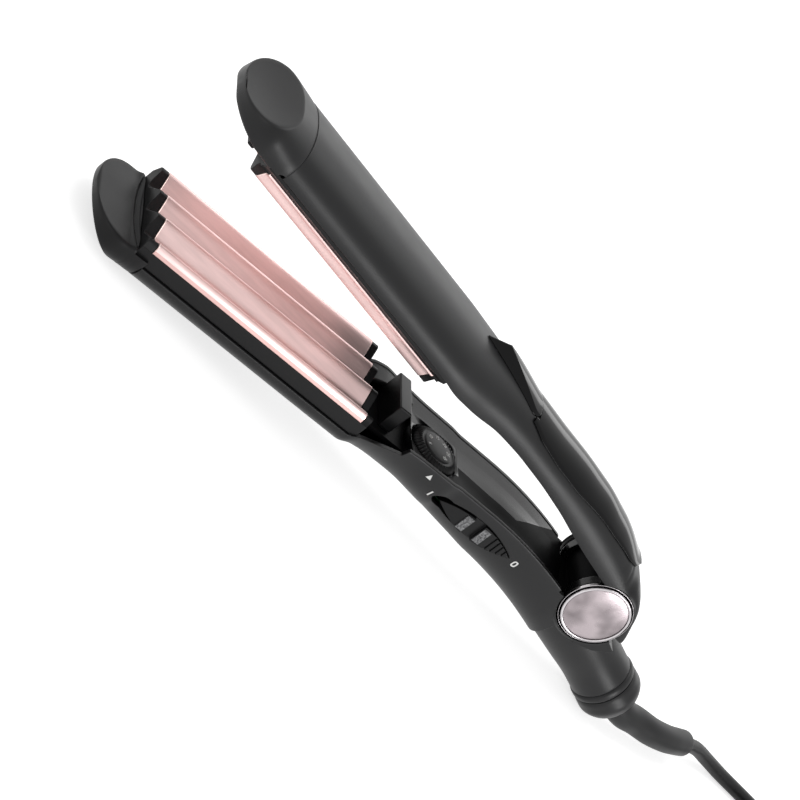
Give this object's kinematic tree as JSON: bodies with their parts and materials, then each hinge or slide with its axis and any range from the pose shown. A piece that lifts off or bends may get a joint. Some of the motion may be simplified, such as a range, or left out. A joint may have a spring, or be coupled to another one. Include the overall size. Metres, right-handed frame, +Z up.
{
  "type": "hair waver",
  "caption": "Hand-held hair waver: sprung hinged arms with ribbed wave plates, temperature dial, slide switch and swivelling cord.",
  "frame": {"origin": "middle of the tool's own box, on the table, measured without the cord, its sleeve, coil and plug", "axes": "+Z up, X along the tool with the tips towards -X and the cord leaving towards +X, the switch on the -Y side"},
  "size_m": [0.5358, 0.1083, 0.0929],
  "materials": {
    "satin_housing": "satin soft-touch, near black",
    "gloss_trim": "high gloss black",
    "wave_plate": "satin rose gold coating with polished crests",
    "ceramic": "matt white ceramic",
    "steel": "plain",
    "silicone": "matt",
    "circuit_board": "satin",
    "inner_plastic": "matt",
    "clear_lens": "clear, polished",
    "indicator": "diffused",
    "wire": "satin",
    "chrome": "polished with a turned ring",
    "plug_metal": "polished nickel",
    "cord_rubber": "satin"
  },
  "bodies": {
    "lower_arm": {"lower_shell": "satin_housing", "lower_tip_cap": "satin_housing", "lower_inner_cover": "satin_housing", "lower_plate_holder": "satin_housing", "lower_wave_plate": "wave_plate", "lower_heater": "ceramic", "lower_heater_clamp": "steel", "lower_cushions": "silicone", "thermal_fuse": "steel", "lower_screws": "steel", "guide_post": "gloss_trim", "potentiometer": "steel", "control_board": "circuit_board", "slide_switch": "inner_plastic", "indicator_led": "indicator", "lower_leads": "wire", "hinge_pin": "steel", "hinge_spring": "steel", "hinge_cap_near": "chrome", "hinge_cap_far": "chrome", "tail_collar": "satin_housing", "cable_clamp": "inner_plastic", "cord_sleeve": "cord_rubber", "cord_tube": "cord_rubber", "cord_coil": "cord_rubber", "plug_body": "cord_rubber", "plug_pins": "plug_metal"},
    "upper_arm": {"upper_shell": "satin_housing", "upper_tip_cap": "satin_housing", "upper_inner_cover": "satin_housing", "upper_plate_holder": "satin_housing", "upper_wave_plate": "wave_plate", "upper_heater": "ceramic", "upper_heater_clamp": "steel", "upper_cushions": "silicone", "upper_screws": "steel", "upper_leads": "wire", "thumb_rest": "gloss_trim", "gloss_inlay": "gloss_trim"},
    "dial": {"temperature_dial": "satin_housing"},
    "slider": {"power_slider": "satin_housing", "slider_lenses": "clear_lens"},
    "swivel": {"cord_swivel": "satin_housing"}
  },
  "joints": [
    {"name": "arm_hinge", "type": "hinge", "parent": "lower_arm", "child": "upper_arm", "pos_m": [0.10821, 0, 0.0418], "axis": [0, -1, 0], "range_deg": [0, 10.8], "stiffness_Nm_per_rad": 0.6, "springref_deg": -34.38, "deforming": ["hinge_spring"]},
    {"name": "dial_turn", "type": "hinge", "parent": "lower_arm", "child": "dial", "pos_m": [0.00967, -0.005, 0.03777], "axis": [-0.1087, 0, 0.9941], "range_deg": [0, 240]},
    {"name": "power_slide", "type": "slide", "parent": "lower_arm", "child": "slider", "axis": [-0.9941, 0, -0.1087], "range_m": [0, 0.004]},
    {"name": "cord_swivel", "type": "hinge", "parent": "lower_arm", "child": "swivel", "pos_m": [0.15266, 0, 0.01494], "axis": [0.967, 0, -0.2548], "continuous": true}
  ]
}
